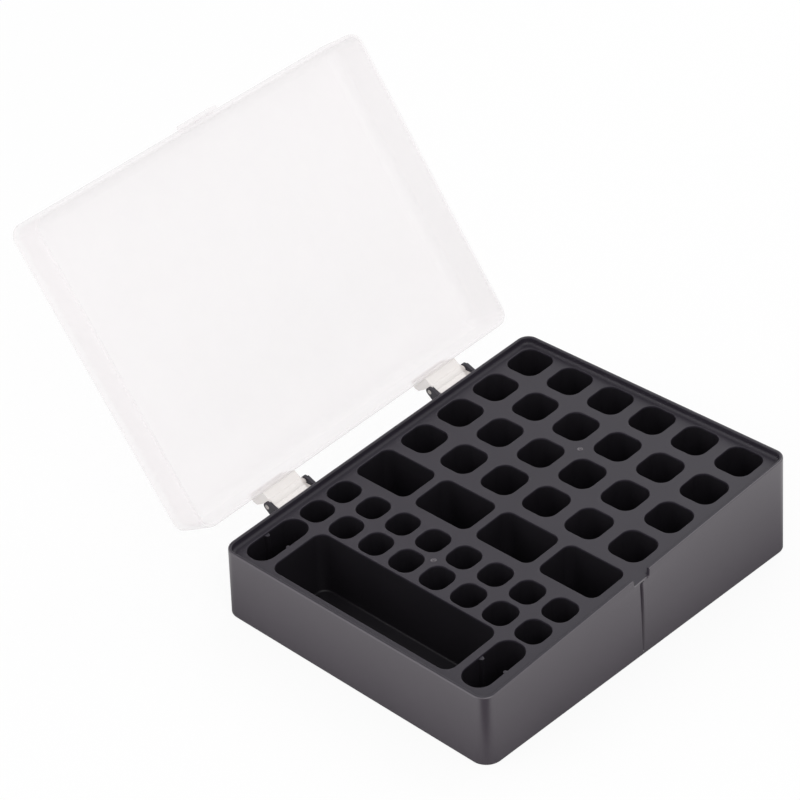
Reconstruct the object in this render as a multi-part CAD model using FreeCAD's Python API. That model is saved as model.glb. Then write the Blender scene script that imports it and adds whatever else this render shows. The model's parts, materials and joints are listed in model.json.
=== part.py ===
"""Battery storage case: a wedge-shaped case with a sloping deck of battery wells and a hinged lid.

Two frames are used. The case frame is level: X across from the hinge side to the latch side, Y from
the low front to the high back, Z up from the plane that the walls stand on. The slope frame lies in
the plane of the rim: X across, S up the slope, N square to it, with its origin over the middle of
the case. Lengths are in millimetres and angles in degrees.
"""
import FreeCAD, Part
import math
import os
from FreeCAD import Placement, Rotation, Vector

# ---------------------------------------------------------------- wells: mouth sizes and webs
AA_WELL = 15.65             # square mouth for a 14.5 mm cell
AA_CORNER = 4.8
AA_COLUMNS = 6
AA_ROWS = 4
AA_WEB_ACROSS = 5.35        # deck between two columns
AAA_WELL = 12.1             # square mouth for a 10.5 mm cell
AAA_CORNER = 4.5
AAA_COLUMNS = 8
AAA_ROWS = 2
AAA_WEB_ACROSS = 3.45
AAA_WEB_ALONG = 2.1
BLOCK_WELL_X = 27.5         # mouth for a 26.5 x 17.5 mm block battery
BLOCK_WELL_Y = 18.7
BLOCK_CORNER = 3.8
BLOCK_COLUMNS = 4
BLOCK_WEB_ACROSS = 3.66
TRAY_Y = 26.5               # long tray across the front, between the slots
TRAY_CORNER = 4.5
SLOT_X = 12.4               # slot at each end of the tray, for two AAA cells
SLOT_CORNER = 5.6
SLOT_WEB = 3.26             # deck between the tray and a slot
SLOT_EDGE_WEB = 1.07        # deck outside a slot
NUB_REACH = 1.5             # ribs that keep the two cells in a slot apart
NUB_WIDTH = 2.2
WEB_ALONG = 4.7             # deck between two wide rows
TRAY_WEB = 1.3              # deck between the tray and the AAA wells
EDGE_WEB_X = 1.4            # deck outside the outermost wells
EDGE_WEB_FRONT = 1.35
EDGE_WEB_BACK = 0.8

# ---------------------------------------------------------------- case moulding
DECK = 1.8                  # thickness of the deck
WELL_WALL = 1.2
WELL_FLOOR = 1.5
WELL_FOOT_GAP = 0.6         # the wells end this far above the table
WALL = 1.8
WALL_DRAFT = 1.9            # the outer walls spread downwards
CORNER = 6.6                # vertical corners, at the foot
BORDER_LEFT = 1.0           # deck outside the field of wells
BORDER_RIGHT = 4.2
BORDER_FRONT = 2.2
BORDER_BACK = 0.8
SLOPE = 4.4
RIM_MID_HEIGHT = 35.65      # top of the rim above the table, half way along
RIM_HEIGHT = 3.0            # rim above the deck
RIM = 1.4                   # thickness of the rim
RIM_FILLET = 1.2            # soft corner between the rim and the deck

# ---------------------------------------------------------------- hinge
FITTINGS_S = -1.6           # hinges and latch sit a little towards the front
HINGE_SPREAD = 88.8         # between the middles of the two hinges
AXIS_OUT = 5.0              # hinge axis outside the wall, at the rim
AXIS_DROP = 1.0             # and below the top of the rim
PIN_RADIUS = 1.0
PIN_CLEARANCE = 0.06
EAR = 1.4                   # thickness of an ear
EAR_RADIUS = 1.8
EAR_GUSSET = 7.0            # foot of an ear on the wall, below the axis
FIN_OUT = 3.9               # pointed fin on top of an ear: its tip outside the wall
FIN_RISE = 1.3              # and above the rim
FIN_FOOT = 0.25             # the fin meets the wall below the rim, where the lid's edge swings past
LUG_WIDTH = 16.8
LUG_SIDE_GAP = 0.8
LUG_RADIUS = 1.9
LUG_DEPTH = 4.5             # lug in front of the lid's wall
LUG_RISE = 10.3             # lug up the lid's wall
LUG_ROUNDING = 1.4
HEEL_TOP = 0.3              # stop of the open lid: its flat end above and below the axis
HEEL_FOOT = 1.2
OPEN_ANGLE = 122.3          # lid turned back from closed

# ---------------------------------------------------------------- lid
LID_INSET = 0.2             # lid inside the outline of the rim
LID_DEPTH = 22.0
LID_WALL = 1.3
LID_PLATE = 1.3
LID_DRAFT = 0.6
LID_FILLET = 2.2            # outer edge round the plate
LID_CORNER = 5.4
SEAT_GAP = 0.3              # closed lid over the rim, and every other running gap

# ---------------------------------------------------------------- latch
TAB_ROOT = 16.8             # width of the tab where it leaves the lid
TAB_TIP = 15.0
TAB_THICKNESS = 1.3
TAB_DROP = 5.2              # tip of the tab below the rim
TAB_RISE = 2.2              # root of the tab up the lid's wall
NIB_REACH = 0.5             # hook inside the tip of the tab
NIB_WIDTH = 7.4
NIB_HEIGHT = 1.3
CATCH_WIDTH = 4.0
CATCH_REACH = 0.3
CATCH_TOP = 2.5             # catch below the top of the rim
CATCH_HEIGHT = 1.1
NOTCH_WIDTH = 8.6           # gap in the rim over the catch
NOTCH_SILL = 0.2            # left of the rim in the gap, over the deck
GROOVE_WIDTH_TOP = 1.1      # flexing groove down the wall under the catch
GROOVE_WIDTH_FOOT = 0.6
GROOVE_DEPTH_TOP = 0.8
GROOVE_DEPTH_FOOT = 0.4
GROOVE_FOOT = 1.2           # the groove ends above the table

FAR = 400.0                 # larger than anything here

# ---------------------------------------------------------------- sizes that follow
draft = math.tan(math.radians(WALL_DRAFT))
deck_mid = RIM_MID_HEIGHT - RIM_HEIGHT / math.cos(math.radians(SLOPE))
field_x = AA_COLUMNS * AA_WELL + (AA_COLUMNS - 1) * AA_WEB_ACROSS + 2 * EDGE_WEB_X
tray_x = field_x - 2 * (SLOT_EDGE_WEB + SLOT_X + SLOT_WEB)
inner_x = field_x + BORDER_LEFT + BORDER_RIGHT
foot_x = inner_x + 2 * (WALL + draft * deck_mid)
rim_x = foot_x - 2 * draft * RIM_MID_HEIGHT
field_left = -inner_x / 2 + BORDER_LEFT
field_right = field_left + field_x
field_middle = (field_left + field_right) / 2


def row_plan():
    """Front edge and length of each row of wells, from the front, counted from the field's edge."""
    rows = [(EDGE_WEB_FRONT, TRAY_Y)]
    kinds = [(AAA_WELL, TRAY_WEB)] + [(AAA_WELL, AAA_WEB_ALONG)] * (AAA_ROWS - 1)
    kinds += [(BLOCK_WELL_Y, WEB_ALONG)] + [(AA_WELL, WEB_ALONG)] * AA_ROWS
    for length, web in kinds:
        front, before = rows[-1]
        rows.append((front + before + web, length))
    return rows


plan = row_plan()
field_y = plan[-1][0] + plan[-1][1] + EDGE_WEB_BACK
inner_y = field_y + BORDER_FRONT + BORDER_BACK
foot_y = inner_y + 2 * (WALL + draft * deck_mid)
rim_y = foot_y - 2 * draft * RIM_MID_HEIGHT
rim_s = rim_y / math.cos(math.radians(SLOPE))
field_front = -inner_y / 2 + BORDER_FRONT
field_back = field_front + field_y

slope_frame = Placement(Vector(0, 0, RIM_MID_HEIGHT), Rotation(Vector(1, 0, 0), SLOPE))
axis_x = -rim_x / 2 - AXIS_OUT
axis_n = -AXIS_DROP
swing_open = Placement(Vector(0, 0, 0), Rotation(Vector(0, 1, 0), -OPEN_ANGLE), Vector(axis_x, 0, axis_n))
lid_half_x = rim_x / 2 - LID_INSET
lid_half_s = rim_s / 2 - LID_INSET
hinge_places = {"front": FITTINGS_S - HINGE_SPREAD / 2, "back": FITTINGS_S + HINGE_SPREAD / 2}


# ---------------------------------------------------------------- shapes that several pieces use
def rounded_outline(size_x, size_y, radius, middle, z):
    """Level rounded rectangle round middle (x, y), starting on its right side."""
    cx, cy = middle
    hx, hy = size_x / 2, size_y / 2
    bulge = radius * (1 - math.sqrt(0.5))
    edges = []
    for sx, sy in ((1, 1), (-1, 1), (-1, -1), (1, -1)):
        side = Vector(cx + sx * hx, cy + sy * (hy - radius), z)
        end = Vector(cx + sx * (hx - radius), cy + sy * hy, z)
        on_arc = Vector(cx + sx * (hx - bulge), cy + sy * (hy - bulge), z)
        first, last = (side, end) if sx == sy else (end, side)
        if edges:
            edges.append(Part.LineSegment(edges[-1].Vertexes[-1].Point, first).toShape())
        edges.append(Part.Arc(first, on_arc, last).toShape())
    edges.append(Part.LineSegment(edges[-1].Vertexes[-1].Point, edges[0].Vertexes[0].Point).toShape())
    return Part.Wire(edges)


def drafted_block(size_x, size_y, radius, middle, z_low, z_high, z_size, slant):
    """Rounded block that is size_x by size_y at height z_size and grows upwards by slant a side."""
    wires = []
    for z in (z_low, z_high):
        grow = slant * (z - z_size)
        wires.append(rounded_outline(size_x + 2 * grow, size_y + 2 * grow, radius + grow, middle, z))
    return Part.makeLoft(wires, True, True)


def upright_block(size_x, size_y, radius, middle, z_low, z_high):
    """Rounded block with upright sides."""
    outline = rounded_outline(size_x, size_y, radius, middle, z_low)
    return Part.Face(outline).extrude(Vector(0, 0, z_high - z_low))


def bevelled_block(size_x, size_y, radius, middle, z_low, z_high):
    """Upright block with flat bevels that touch the round corners of the given radius."""
    cx, cy = middle
    hx, hy = size_x / 2, size_y / 2
    cut = radius * (2 - math.sqrt(2))
    points = []
    for sx, sy in ((1, 1), (-1, 1), (-1, -1), (1, -1)):
        side = Vector(cx + sx * hx, cy + sy * (hy - cut), z_low)
        end = Vector(cx + sx * (hx - cut), cy + sy * hy, z_low)
        points += [side, end] if sx == sy else [end, side]
    return Part.Face(Part.makePolygon(points + points[:1])).extrude(Vector(0, 0, z_high - z_low))


def in_slope(shape):
    """Move a shape drawn in the slope frame into the case frame."""
    moved = shape.copy()
    moved.Placement = slope_frame.multiply(moved.Placement)
    return moved


def slab(n_low, n_high):
    """Everything between two heights of the slope frame."""
    return in_slope(Part.makeBox(FAR, FAR, n_high - n_low, Vector(-FAR / 2, -FAR / 2, n_low)))


def flat_profile(points, s_low, s_high):
    """Prism along S from an outline of (x, n) points."""
    wire = Part.makePolygon([Vector(x, s_low, n) for x, n in points + points[:1]])
    return Part.Face(wire).extrude(Vector(0, s_high - s_low, 0))


def rod(radius, x, n, s_low, s_high):
    """Round rod along S."""
    return Part.makeCylinder(radius, s_high - s_low, Vector(x, s_low, n), Vector(0, 1, 0))


def case_block(inset, z_low=0.0, z_high=2 * RIM_MID_HEIGHT):
    """Outer form of the case, taken in by inset on all four sides."""
    return drafted_block(foot_x - 2 * inset, foot_y - 2 * inset, CORNER - inset, (0, 0), z_low, z_high,
                         0, -draft)


def wall_out(s, n):
    """Half width over the outer walls at a place in the slope frame."""
    z = RIM_MID_HEIGHT + s * math.sin(math.radians(SLOPE)) + n * math.cos(math.radians(SLOPE))
    return foot_x / 2 - draft * z


def deck_height(y):
    """Height of the deck's upper face over a place in the case frame."""
    return deck_mid + y * math.tan(math.radians(SLOPE))


# ---------------------------------------------------------------- case
def case_walls():
    """Outer walls, the rim, the soft corner inside it and the deck outside the field of wells."""
    walls = case_block(0).common(slab(-FAR / 2, 0))
    below_deck = slab(-FAR / 2, -RIM_HEIGHT - DECK)
    walls = walls.cut(case_block(WALL, z_low=-1.0).common(below_deck))
    recess = case_block(RIM).common(slab(-RIM_HEIGHT, FAR / 2))
    floor = min(recess.Faces, key=lambda face: face.CenterOfMass.z)
    recess = recess.makeFillet(RIM_FILLET, floor.Edges)
    walls = walls.cut(recess)
    walls = walls.cut(Part.makeBox(field_x, field_y, FAR, Vector(field_left, field_front, 0)))
    notch = Part.makeBox(4 * RIM, NOTCH_WIDTH, RIM_HEIGHT,
                         Vector(rim_x / 2 - 3 * RIM, FITTINGS_S - NOTCH_WIDTH / 2, NOTCH_SILL - RIM_HEIGHT))
    return walls.cut(in_slope(notch)).cut(flexing_groove())


def flexing_groove():
    """V-shaped groove down the latch side from the catch, narrower and shallower at its foot."""
    y = FITTINGS_S * math.cos(math.radians(SLOPE))
    top = deck_height(y) - CATCH_HEIGHT
    wires = []
    for z, width, depth in ((GROOVE_FOOT, GROOVE_WIDTH_FOOT, GROOVE_DEPTH_FOOT),
                            (top, GROOVE_WIDTH_TOP, GROOVE_DEPTH_TOP)):
        face_x = foot_x / 2 - draft * z
        points = [Vector(face_x + depth, y - width, z), Vector(face_x + depth, y + width, z),
                  Vector(face_x - depth, y, z)]
        wires.append(Part.makePolygon(points + points[:1]))
    return Part.makeLoft(wires, True, True)


def well(middle, size, corner, tile_x, tile_y):
    """One well: its tile of the deck with a bevelled cup under it, cut out by the rounded pocket."""
    (cx, cy), (sx, sy) = middle, size
    top = deck_height(cy)
    deck = Part.makeBox(tile_x[1] - tile_x[0], tile_y[1] - tile_y[0], FAR, Vector(tile_x[0], tile_y[0], 0))
    deck = deck.common(slab(-RIM_HEIGHT - DECK, -RIM_HEIGHT))
    cup = bevelled_block(sx + 2 * WELL_WALL, sy + 2 * WELL_WALL, corner + WELL_WALL, middle,
                         WELL_FOOT_GAP, top + RIM_HEIGHT)
    pocket = upright_block(sx, sy, corner, middle, WELL_FOOT_GAP + WELL_FLOOR, top + 2 * RIM_HEIGHT)
    limit = Part.makeBox(tile_x[1] - tile_x[0], tile_y[1] - tile_y[0], FAR, Vector(tile_x[0], tile_y[0], 0))
    cup = cup.common(slab(-FAR / 2, -RIM_HEIGHT)).common(limit)
    return deck.fuse(cup).cut(pocket).removeSplitter()


def row_edges(index):
    """Front and back edge of the deck that belongs to one row: half way to the next wells."""
    front, length = plan[index]
    low = 0 if index == 0 else (plan[index - 1][0] + plan[index - 1][1] + front) / 2
    high = field_y if index == len(plan) - 1 else (front + length + plan[index + 1][0]) / 2
    return field_front + low, field_front + high


def well_row(index, size_x, corner, count, web):
    """A row of equal wells across the field. The end wells take the deck out to its edge."""
    front, length = plan[index]
    cy = field_front + front + length / 2
    pitch = size_x + web
    wells = []
    for k in range(count):
        cx = field_middle + (k - (count - 1) / 2) * pitch
        left = field_left if k == 0 else cx - pitch / 2
        right = field_right if k == count - 1 else cx + pitch / 2
        wells.append(well((cx, cy), (size_x, length), corner, (left, right), row_edges(index)))
    return Part.makeCompound(wells)


def tray_well():
    """Long tray between the two slots."""
    front, length = plan[0]
    half = (tray_x + SLOT_WEB) / 2
    middle = (field_middle, field_front + front + length / 2)
    return well(middle, (tray_x, length), TRAY_CORNER, (field_middle - half, field_middle + half), row_edges(0))


def slot_well(side):
    """Slot for two cells at one end of the tray, with a rib on each long side between the cells."""
    front, length = plan[0]
    cx = field_middle + side * (tray_x / 2 + SLOT_WEB + SLOT_X / 2)
    cy = field_front + front + length / 2
    inner = field_middle + side * (tray_x + SLOT_WEB) / 2
    outer = field_right if side > 0 else field_left
    body = well((cx, cy), (SLOT_X, length), SLOT_CORNER, (min(inner, outer), max(inner, outer)), row_edges(0))
    ribs = []
    for way in (-1, 1):
        wall_x = cx + way * (SLOT_X / 2 + WELL_WALL / 2)
        tip_x = cx + way * (SLOT_X / 2 - NUB_REACH)
        points = [Vector(wall_x, cy - NUB_WIDTH / 2, 0), Vector(wall_x, cy + NUB_WIDTH / 2, 0), Vector(tip_x, cy, 0)]
        rib = Part.Face(Part.makePolygon(points + points[:1])).extrude(Vector(0, 0, FAR))
        ribs.append(rib.common(slab(-FAR / 2, -RIM_HEIGHT)))
    ribs = Part.makeCompound(ribs).cut(Part.makeBox(FAR, FAR, 2 * WELL_FOOT_GAP + WELL_FLOOR,
                                                    Vector(-FAR / 2, -FAR / 2, -WELL_FOOT_GAP)))
    return body.fuse(ribs).removeSplitter()


def hinge_ears(middle_s):
    """Two ears on the hinge side that carry one lug of the lid between them."""
    inner = LUG_WIDTH / 2 + LUG_SIDE_GAP
    wall_x = -rim_x / 2
    ears = []
    for low in (middle_s - inner - EAR, middle_s + inner):
        high = low + EAR
        gusset = flat_profile([(wall_x - FIN_OUT, axis_n), (wall_x - FIN_OUT, FIN_RISE), (wall_x, -FIN_FOOT),
                               (wall_x + WALL, -FIN_FOOT), (wall_x + WALL, axis_n - EAR_GUSSET - WALL),
                               (wall_x, axis_n - EAR_GUSSET),
                               (axis_x - 0.8 * EAR_RADIUS, axis_n - 0.6 * EAR_RADIUS),
                               (axis_x, axis_n)], low, high)
        ear = gusset.fuse(rod(EAR_RADIUS, axis_x, axis_n, low, high)).removeSplitter()
        ear = ear.cut(rod(PIN_RADIUS + PIN_CLEARANCE, axis_x, axis_n, low - 1, high + 1))
        ears.append(in_slope(ear).cut(case_block(0)))
    return Part.makeCompound(ears)


def latch_catch():
    """Bevelled bump on the wall under the notch, which the hook of the tab passes."""
    low, high = FITTINGS_S - CATCH_WIDTH / 2, FITTINGS_S + CATCH_WIDTH / 2
    face_x = rim_x / 2
    foot = -CATCH_TOP - CATCH_HEIGHT
    bump = flat_profile([(face_x - WALL / 2, -CATCH_TOP), (face_x, -CATCH_TOP),
                         (face_x + CATCH_REACH, -CATCH_TOP - 0.6 * CATCH_HEIGHT),
                         (face_x + CATCH_REACH, foot + 0.1 * CATCH_HEIGHT), (face_x, foot),
                         (face_x - WALL / 2, foot)], low, high)
    return in_slope(bump).cut(case_walls())


# ---------------------------------------------------------------- lid, drawn closed in the slope frame
def place_lid_piece(shape):
    """Turn a piece of the closed lid back to its open rest place and move it to the case frame."""
    return in_slope(shape_at(shape, swing_open))


def shape_at(shape, placement):
    """Copy of a shape with one more placement applied."""
    moved = shape.copy()
    moved.Placement = placement.multiply(moved.Placement)
    return moved


def lid_block(inset, n_low, n_high):
    """Outer form of the lid above the rim, taken in by inset."""
    slant = -math.tan(math.radians(LID_DRAFT))
    return drafted_block(2 * (lid_half_x - inset), 2 * (lid_half_s - inset), LID_CORNER - inset, (0, 0),
                         n_low, n_high, SEAT_GAP, slant)


def lid_shell():
    """Plate and four drafted walls, rounded all round the plate inside and out."""
    outside = lid_block(0, SEAT_GAP, LID_DEPTH)
    plate = max(outside.Faces, key=lambda face: face.CenterOfMass.z)
    outside = outside.makeFillet(LID_FILLET, plate.Edges)
    inside = lid_block(LID_WALL, SEAT_GAP - 1, LID_DEPTH - LID_PLATE)
    plate = max(inside.Faces, key=lambda face: face.CenterOfMass.z)
    inside = inside.makeFillet(LID_FILLET - LID_PLATE, plate.Edges)
    return outside.cut(inside)


def hinge_lug(middle_s):
    """Arm down the outside of the lid's wall to a barrel on the hinge axis, with a heel as the stop."""
    low, high = middle_s - LUG_WIDTH / 2, middle_s + LUG_WIDTH / 2
    wall_x = -lid_half_x
    arm_x = wall_x - LUG_DEPTH
    inward = math.tan(math.radians(LID_DRAFT)) * LUG_RISE + LID_WALL / 2
    clear_x = -rim_x / 2 - SEAT_GAP
    arm = flat_profile([(wall_x + inward, SEAT_GAP), (wall_x + inward, LUG_RISE),
                        (arm_x + LUG_ROUNDING, LUG_RISE), (arm_x, LUG_RISE - LUG_ROUNDING),
                        (arm_x, axis_n), (axis_x + LUG_RADIUS, axis_n), (clear_x, SEAT_GAP)], low, high)
    stop_x = -wall_out(low, axis_n - HEEL_FOOT) - SEAT_GAP
    heel = flat_profile([(axis_x, axis_n + HEEL_TOP), (stop_x, axis_n + HEEL_TOP), (stop_x, axis_n - HEEL_FOOT),
                         (axis_x, axis_n - LUG_RADIUS)], low, high)
    heel = shape_at(heel, swing_open.inverse())
    lug = arm.fuse(rod(LUG_RADIUS, axis_x, axis_n, low, high)).fuse(heel)
    return lug.cut(lid_block(0, -LID_DEPTH, 2 * LID_DEPTH)).removeSplitter()


def hinge_pins(middle_s):
    """Stub pins on both sides of a lug, through the ears."""
    half = LUG_WIDTH / 2
    length = LUG_SIDE_GAP + EAR
    pins = []
    for low in (middle_s - half - length, middle_s + half):
        pins.append(rod(PIN_RADIUS, axis_x, axis_n, low, low + length))
    return Part.makeCompound(pins)


def latch_tab():
    """Tapered tab over the case wall, with a hook along its tip."""
    wall_x = rim_x / 2 + CATCH_REACH + SEAT_GAP + NIB_REACH
    outer_x = wall_x + TAB_THICKNESS
    corner = TAB_THICKNESS / 2
    half_root, half_tip = TAB_ROOT / 2, TAB_TIP / 2
    outline = [(half_root, TAB_RISE), (half_root, 0), (half_tip, -TAB_DROP),
               (-half_tip, -TAB_DROP), (-half_root, 0), (-half_root, TAB_RISE)]
    points = [Vector(lid_half_x - LID_WALL / 2, FITTINGS_S + s, n) for s, n in outline]
    blade = Part.Face(Part.makePolygon(points + points[:1])).extrude(Vector(outer_x - points[0].x, 0, 0))
    blade = blade.cut(Part.makeBox(FAR, FAR, FAR, Vector(wall_x - FAR, -FAR / 2, SEAT_GAP - FAR)))
    corner_cut = flat_profile([(outer_x + 1, TAB_RISE - corner), (outer_x, TAB_RISE - corner),
                               (outer_x - 2 * corner, TAB_RISE + corner / 4), (outer_x + 1, TAB_RISE + corner)],
                              FITTINGS_S - TAB_ROOT, FITTINGS_S + TAB_ROOT)
    half_nib = NIB_WIDTH / 2
    nib = flat_profile([(wall_x + TAB_THICKNESS / 2, -TAB_DROP), (wall_x, -TAB_DROP),
                        (wall_x - NIB_REACH, -TAB_DROP + 0.5 * NIB_HEIGHT),
                        (wall_x - NIB_REACH, -TAB_DROP + 0.8 * NIB_HEIGHT), (wall_x, -TAB_DROP + NIB_HEIGHT),
                        (wall_x + TAB_THICKNESS / 2, -TAB_DROP + NIB_HEIGHT)],
                       FITTINGS_S - half_nib, FITTINGS_S + half_nib)
    tab = blade.cut(corner_cut).fuse(nib)
    return tab.cut(lid_block(0, -LID_DEPTH, 2 * LID_DEPTH)).removeSplitter()


# ---------------------------------------------------------------- the whole part
def all_pieces():
    """Every piece in the case frame, by name."""
    pieces = {"case_walls": case_walls(), "tray_well": tray_well()}
    for name, side in (("left", -1), ("right", 1)):
        pieces["slot_well_" + name] = slot_well(side)
    for k in range(AAA_ROWS):
        pieces["aaa_wells_row_%d" % (k + 1)] = well_row(1 + k, AAA_WELL, AAA_CORNER, AAA_COLUMNS, AAA_WEB_ACROSS)
    pieces["block_wells"] = well_row(1 + AAA_ROWS, BLOCK_WELL_X, BLOCK_CORNER, BLOCK_COLUMNS, BLOCK_WEB_ACROSS)
    for k in range(AA_ROWS):
        pieces["aa_wells_row_%d" % (k + 1)] = well_row(2 + AAA_ROWS + k, AA_WELL, AA_CORNER, AA_COLUMNS,
                                                       AA_WEB_ACROSS)
    for name, middle_s in hinge_places.items():
        pieces["hinge_ears_" + name] = hinge_ears(middle_s)
        pieces["hinge_lug_" + name] = place_lid_piece(hinge_lug(middle_s))
        pieces["hinge_pins_" + name] = place_lid_piece(hinge_pins(middle_s))
    pieces["latch_catch"] = latch_catch()
    pieces["lid_shell"] = place_lid_piece(lid_shell())
    pieces["latch_tab"] = place_lid_piece(latch_tab())
    return pieces


def main():
    """Write one STEP file a piece, with the origin under the middle of the box round the open case."""
    pieces = all_pieces()
    box = FreeCAD.BoundBox()
    for shape in pieces.values():
        box.add(shape.optimalBoundingBox(False, False))
    origin = Vector(-(box.XMin + box.XMax) / 2, -(box.YMin + box.YMax) / 2, -box.ZMin)
    os.makedirs("parts", exist_ok=True)
    for name, shape in pieces.items():
        shape.translate(origin)
        shape.exportStep("parts/%s.step" % name)
        print("%-18s solids %2d  valid %s  volume %9.1f mm3" % (name, len(shape.Solids), shape.isValid(), shape.Volume))
    axis_point = slope_frame.multVec(Vector(axis_x, 0, axis_n)).add(origin)
    print("hinge axis through", axis_point, "along", slope_frame.Rotation.multVec(Vector(0, 1, 0)))
    print("case centre at", origin, "box", box.XLength, box.YLength, box.ZLength)
    print("rim", rim_x, rim_s, "foot", foot_x, foot_y, "field", field_left, field_right, field_front, field_back)


main()
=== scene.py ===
"""Looks of the battery storage case: black moulded wells under a milky hinged lid.

Lengths are millimetres until a mesh is made, and angles are degrees. Three frames are used, as in the
CAD: the case frame (level, origin under the middle of the case), the slope frame (in the plane of the
rim) and the lid's frame, which is the slope frame turned back about the hinge by the open angle.
"""
import json
import math

import bmesh
import bpy
import numpy as np
from mathutils import Matrix, Vector


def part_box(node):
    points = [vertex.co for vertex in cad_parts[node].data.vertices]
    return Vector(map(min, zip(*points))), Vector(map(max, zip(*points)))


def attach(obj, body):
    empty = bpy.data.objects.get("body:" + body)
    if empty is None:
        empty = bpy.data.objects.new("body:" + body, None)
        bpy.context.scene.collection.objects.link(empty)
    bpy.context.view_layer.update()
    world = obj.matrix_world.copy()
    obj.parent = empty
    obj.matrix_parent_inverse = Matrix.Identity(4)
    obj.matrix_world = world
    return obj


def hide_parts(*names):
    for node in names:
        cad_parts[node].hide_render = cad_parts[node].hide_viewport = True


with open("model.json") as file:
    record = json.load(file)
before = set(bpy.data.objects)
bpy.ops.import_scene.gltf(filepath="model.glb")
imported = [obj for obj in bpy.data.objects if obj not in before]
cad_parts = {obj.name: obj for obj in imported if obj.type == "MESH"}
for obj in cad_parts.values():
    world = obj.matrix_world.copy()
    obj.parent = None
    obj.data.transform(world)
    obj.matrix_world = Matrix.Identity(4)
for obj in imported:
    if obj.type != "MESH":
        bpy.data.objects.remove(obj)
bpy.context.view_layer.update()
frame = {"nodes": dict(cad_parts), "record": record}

MM = 0.001

# ---------------------------------------------------------------- sizes shared with the CAD
SLOPE = 4.4                 # rise of the deck and the rim towards the back
RIM_MID_HEIGHT = 35.65      # top of the rim above the table, in the middle of the case
RIM_HEIGHT = 3.0            # rim above the deck
RIM = 1.4                   # width of the rim
RIM_FILLET = 1.2            # inner corner between the rim and the deck
DECK = 1.8                  # thickness of the deck
WALL = 1.8                  # thickness of the case walls
WALL_DRAFT = 1.9            # how far the case walls lean in
CORNER = 6.6                # corner of the case at its foot
WELL_WALL = 1.2
WELL_FLOOR_TOP = 2.1        # floors of the wells above the table
WELL_FOOT_GAP = 0.6         # undersides of the cups above the table
BORDER = {"left": 1.0, "right": 4.2, "front": 2.2, "back": 0.8}      # deck round the field of wells
FRONT_WEB = 1.35            # web before the tray
NUB_REACH = 1.5             # how far the ribs of the end slots stand in
NUB_WIDTH = 2.2
NOTCH_WIDTH = 8.6           # notch in the rim, over the latch
NOTCH_SILL = 0.2            # rim that is left in the notch
FITTINGS_S = -1.6           # middle of the latch, along the slope
LID_INSET = 0.2
LID_DEPTH = 22.0
LID_WALL = 1.3
LID_PLATE = 1.3
LID_DRAFT = 0.6
LID_FILLET = 2.2            # outer fold between plate and walls
LID_CORNER = 5.4
SEAT_GAP = 0.3              # rim of the closed lid above the rim of the case

# A kind of well row: size across, size along, corner, how many, and the web between two.
AA_ROW = (15.65, 15.65, 4.8, 6, 5.35)
AAA_ROW = (12.1, 12.1, 4.5, 8, 3.45)
BLOCK_ROW = (27.5, 18.7, 3.8, 4, 3.66)

# The tray and the slots at its ends: size across, size along and corner.
TRAY = (89.99, 26.5, 4.5)
SLOT = (12.4, 26.5, 5.6)
SLOT_WEB = 3.26             # between the tray and a slot

# The rows behind the tray, from the front: CAD node, kind of row, and the web before it.
ROWS = [("aaa_wells_row_1", AAA_ROW, 1.3), ("aaa_wells_row_2", AAA_ROW, 2.1),
        ("block_wells", BLOCK_ROW, 4.7), ("aa_wells_row_1", AA_ROW, 4.7), ("aa_wells_row_2", AA_ROW, 4.7),
        ("aa_wells_row_3", AA_ROW, 4.7), ("aa_wells_row_4", AA_ROW, 4.7)]

# ---------------------------------------------------------------- forms that only the looks have
WELL_DRAFT = 0.5            # slant of the wells' walls
MOUTH_ROUND = 0.25          # edge of a well at the deck
FLOOR_ROUND = 0.7           # corner between a well's wall and floor
FOOT_ROUND = 0.9            # lower edge of a cup, under the deck
CUP_FLARE = (0.1, 0.2)      # where a cup meets the underside of the deck: outwards and downwards
RIB_DROP = 0.8              # top of a slot's ribs below the deck
RIB_STEEPNESS = 1.8         # 1 gives a rib a sharp crest, and more a wider one
RIM_ROUND = 0.42            # both edges of the rim's top
FOOT_BEVEL = 0.3            # lower edges of the case walls
FOOT_BREAK = 0.1            # point that rounds the outer bevel, from both faces
UNDER_FILLET = (0.2, 0.3)   # corner of the wall and the underside of the deck: inwards and downwards
LEAST_ROUND = 0.4           # smallest corner of an outline that is taken in
LID_INNER_ROUND = 4.5       # inner fold between plate and walls
LID_EDGE_ROUND = 0.35       # both edges of the lid's rim
LID_FLAT = 6.0              # innermost ring on the plate, from its fold

NOTCH_SLANT = 0.24          # length over which the notch's ends lean
BULGE = 0.35                # the latch wall swells a little round the groove
BULGE_SPREAD = 15.0
GROOVE = {"top": (1.3, 0.45, 1.2), "foot": (0.45, 0.3, 0.5)}     # width before and behind its line, depth
GROOVE_FOOT = 1.2           # foot of the groove above the table
GROOVE_TOP = 3.6            # top of the groove below the rim
GROOVE_RUN = 0.3            # height over which the groove runs out at both ends
GROOVE_LEVELS = (0.15, 0.3, 0.45, 0.6, 0.75, 0.9)       # rings up the groove, as shares of its height
SWELL_AT_TOP = 0.3          # share of the swelling at the top of the groove
SWELL_ABOVE = 0.2           # and just above it
LIP = 0.16                  # raised line behind the groove, fading out at its foot
LIP_PLACE = 1.1             # its middle behind the groove's line
LIP_HALF = 0.6
HOOK = 0.5                  # recess round the top of the groove
HOOK_SPAN = (-0.5, 0.6)     # where it starts and ends across the groove
HOOK_LEFT = 0.6             # share of it that is left under the deck's plane
HOOK_END = (0.1, 0.02)      # depths below the deck's plane between which it ends

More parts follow.
